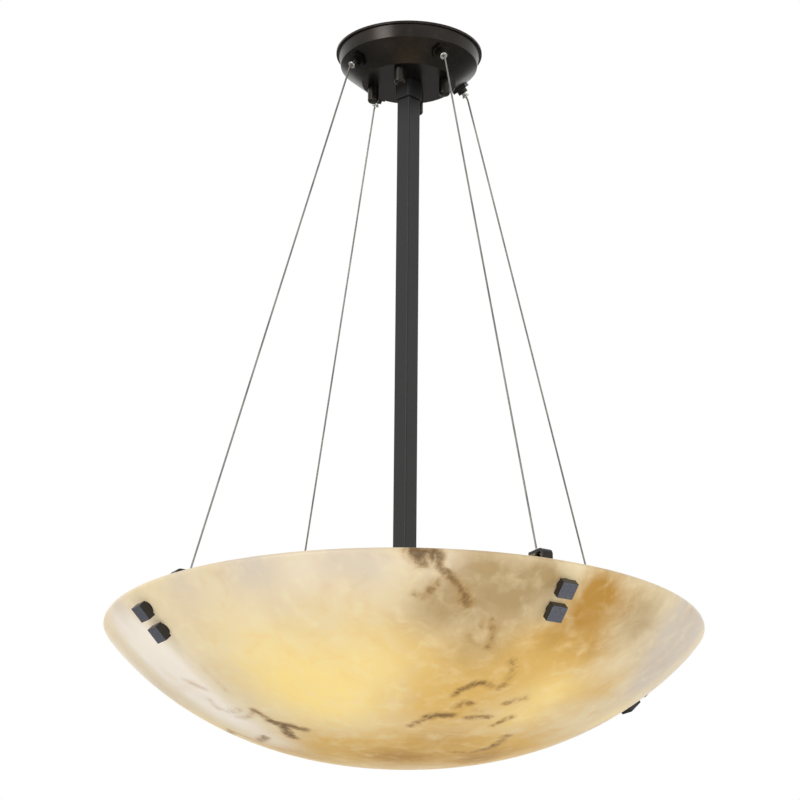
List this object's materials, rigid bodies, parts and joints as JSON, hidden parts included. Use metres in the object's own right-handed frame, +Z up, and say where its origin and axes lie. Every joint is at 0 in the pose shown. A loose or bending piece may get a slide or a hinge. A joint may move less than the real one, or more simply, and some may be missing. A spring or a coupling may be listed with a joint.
{
  "type": "bowl pendant light",
  "caption": "Alabaster bowl pendant: a veined stone bowl hung by taut steel cables from a round canopy, with a square centre stem and square finials.",
  "frame": {"origin": "centre of the mounting plate's top face, in the ceiling plane", "axes": "+Z up into the ceiling, the fixture hangs to -Z, -Y towards the front of the picture, +X to its right; the ceiling-box slots lie on X"},
  "size_m": [0.6096, 0.6096, 0.782],
  "materials": {
    "alabaster": "polished, translucent, cloudy cream with brown veins",
    "dark_bronze": "satin dark bronze",
    "black_paint": "satin black",
    "dark_finial": "satin gunmetal black",
    "zinc_steel": "zinc plated",
    "green_screw": "green",
    "brass": "turned",
    "bright_nickel": "bright nickel",
    "steel_cable": "stranded stainless",
    "black_sheath": "matt lead sheath",
    "connector_plastic": "orange moulded",
    "rubber_pad": "soft rubber",
    "porcelain": "white glazed",
    "bulb_cap": "threaded cap",
    "frosted_glass": "frosted"
  },
  "bodies": {
    "root": {"bowl": "alabaster", "canopy_shell": "dark_bronze", "mounting_plate": "zinc_steel", "mounting_studs": "zinc_steel", "stud_nuts": "zinc_steel", "ground_screw": "green_screw", "stem_tube": "black_paint", "stem_plugs": "zinc_steel", "stem_collar": "black_paint", "collar_set_screws": "zinc_steel", "stem_nipples": "brass", "stem_washers": "zinc_steel", "stem_lock_nuts": "brass", "stem_lead": "black_sheath", "wire_connectors": "connector_plastic", "grip_bodies": "dark_bronze", "grip_nuts": "zinc_steel", "grip_balls": "bright_nickel", "grip_springs": "bright_nickel", "cable_front_right": "steel_cable", "cable_back_right": "steel_cable", "cable_back_left": "steel_cable", "cable_front_left": "steel_cable", "cable_tail_caps": "bright_nickel", "cable_ferrules": "bright_nickel", "rim_brackets": "dark_bronze", "bracket_pads": "rubber_pad", "finial_washers": "rubber_pad", "finial_screws": "zinc_steel", "cluster_hub": "black_paint", "cluster_cover": "black_paint", "cover_screws": "zinc_steel", "socket_nipples": "brass", "lamp_cups": "black_paint", "lamp_sockets": "porcelain", "socket_shells": "brass", "socket_contacts": "brass"},
    "cap_nut_1": {"cap_nut_1": "dark_bronze"},
    "cap_nut_2": {"cap_nut_2": "dark_bronze"},
    "cap_nut_3": {"cap_nut_3": "dark_bronze"},
    "cap_nut_4": {"cap_nut_4": "dark_bronze"},
    "release_sleeve_front_right": {"release_sleeve_front_right": "bright_nickel"},
    "release_sleeve_back_right": {"release_sleeve_back_right": "bright_nickel"},
    "release_sleeve_back_left": {"release_sleeve_back_left": "bright_nickel"},
    "release_sleeve_front_left": {"release_sleeve_front_left": "bright_nickel"},
    "finial_upper_front_right": {"finial_upper_front_right": "dark_finial"},
    "finial_upper_back_right": {"finial_upper_back_right": "dark_finial"},
    "finial_upper_back_left": {"finial_upper_back_left": "dark_finial"},
    "finial_upper_front_left": {"finial_upper_front_left": "dark_finial"},
    "finial_lower_front_right": {"finial_lower_front_right": "dark_finial"},
    "finial_lower_back_right": {"finial_lower_back_right": "dark_finial"},
    "finial_lower_back_left": {"finial_lower_back_left": "dark_finial"},
    "finial_lower_front_left": {"finial_lower_front_left": "dark_finial"},
    "bulb_1": {"bulb_base_1": "bulb_cap", "bulb_glass_1": "frosted_glass"},
    "bulb_2": {"bulb_base_2": "bulb_cap", "bulb_glass_2": "frosted_glass"},
    "bulb_3": {"bulb_base_3": "bulb_cap", "bulb_glass_3": "frosted_glass"}
  },
  "joints": [
    {"name": "cap_nut_1_turn", "type": "hinge", "parent": "root", "child": "cap_nut_1", "pos_m": [-0.00988, -0.03876, -0.045], "axis": [0, 0, 1], "continuous": true},
    {"name": "cap_nut_2_turn", "type": "hinge", "parent": "root", "child": "cap_nut_2", "pos_m": [0.03876, -0.00988, -0.045], "axis": [0, 0, 1], "continuous": true},
    {"name": "cap_nut_3_turn", "type": "hinge", "parent": "root", "child": "cap_nut_3", "pos_m": [0.00988, 0.03876, -0.045], "axis": [0, 0, 1], "continuous": true},
    {"name": "cap_nut_4_turn", "type": "hinge", "parent": "root", "child": "cap_nut_4", "pos_m": [-0.03876, 0.00988, -0.045], "axis": [0, 0, 1], "continuous": true},
    {"name": "release_sleeve_front_right_push", "type": "slide", "parent": "root", "child": "release_sleeve_front_right", "axis": [-0.3318, 0.5656, 0.7549], "range_m": [0, 0.002], "stiffness_N_per_m": 600, "springref_m": -0.003},
    {"name": "release_sleeve_back_right_push", "type": "slide", "parent": "root", "child": "release_sleeve_back_right", "axis": [-0.565, -0.3328, 0.7549], "range_m": [0, 0.002], "stiffness_N_per_m": 600, "springref_m": -0.003},
    {"name": "release_sleeve_back_left_push", "type": "slide", "parent": "root", "child": "release_sleeve_back_left", "axis": [0.3328, -0.565, 0.7549], "range_m": [0, 0.002], "stiffness_N_per_m": 600, "springref_m": -0.003},
    {"name": "release_sleeve_front_left_push", "type": "slide", "parent": "root", "child": "release_sleeve_front_left", "axis": [0.5537, 0.3514, 0.7549], "range_m": [0, 0.002], "stiffness_N_per_m": 600, "springref_m": -0.003},
    {"name": "finial_upper_front_right_turn", "type": "hinge", "parent": "root", "child": "finial_upper_front_right", "pos_m": [0.14776, -0.25185, -0.6703], "axis": [0.3564, -0.6075, -0.7099], "continuous": true},
    {"name": "finial_upper_back_right_turn", "type": "hinge", "parent": "root", "child": "finial_upper_back_right", "pos_m": [0.2516, 0.1482, -0.6703], "axis": [0.6068, 0.3575, -0.7099], "continuous": true},
    {"name": "finial_upper_back_left_turn", "type": "hinge", "parent": "root", "child": "finial_upper_back_left", "pos_m": [-0.1482, 0.2516, -0.6703], "axis": [-0.3575, 0.6068, -0.7099], "continuous": true},
    {"name": "finial_upper_front_left_turn", "type": "hinge", "parent": "root", "child": "finial_upper_front_left", "pos_m": [-0.24654, -0.15646, -0.6703], "axis": [-0.5947, -0.3774, -0.7099], "continuous": true},
    {"name": "finial_lower_front_right_turn", "type": "hinge", "parent": "root", "child": "finial_lower_front_right", "pos_m": [0.1385, -0.23607, -0.68846], "axis": [0.3564, -0.6075, -0.7099], "continuous": true},
    {"name": "finial_lower_back_right_turn", "type": "hinge", "parent": "root", "child": "finial_lower_back_right", "pos_m": [0.23583, 0.13891, -0.68846], "axis": [0.6068, 0.3575, -0.7099], "continuous": true},
    {"name": "finial_lower_back_left_turn", "type": "hinge", "parent": "root", "child": "finial_lower_back_left", "pos_m": [-0.13891, 0.23583, -0.68846], "axis": [-0.3575, 0.6068, -0.7099], "continuous": true},
    {"name": "finial_lower_front_left_turn", "type": "hinge", "parent": "root", "child": "finial_lower_front_left", "pos_m": [-0.23109, -0.14666, -0.68846], "axis": [-0.5947, -0.3774, -0.7099], "continuous": true},
    {"name": "bulb_1_unscrew", "type": "hinge", "parent": "root", "child": "bulb_1", "pos_m": [0.09, 0, -0.69], "axis": [1, 0, 0], "continuous": true},
    {"name": "bulb_2_unscrew", "type": "hinge", "parent": "root", "child": "bulb_2", "pos_m": [-0.045, 0.07794, -0.69], "axis": [-0.5, 0.866, 0], "continuous": true},
    {"name": "bulb_3_unscrew", "type": "hinge", "parent": "root", "child": "bulb_3", "pos_m": [-0.045, -0.07794, -0.69], "axis": [-0.5, -0.866, 0], "continuous": true}
  ]
}
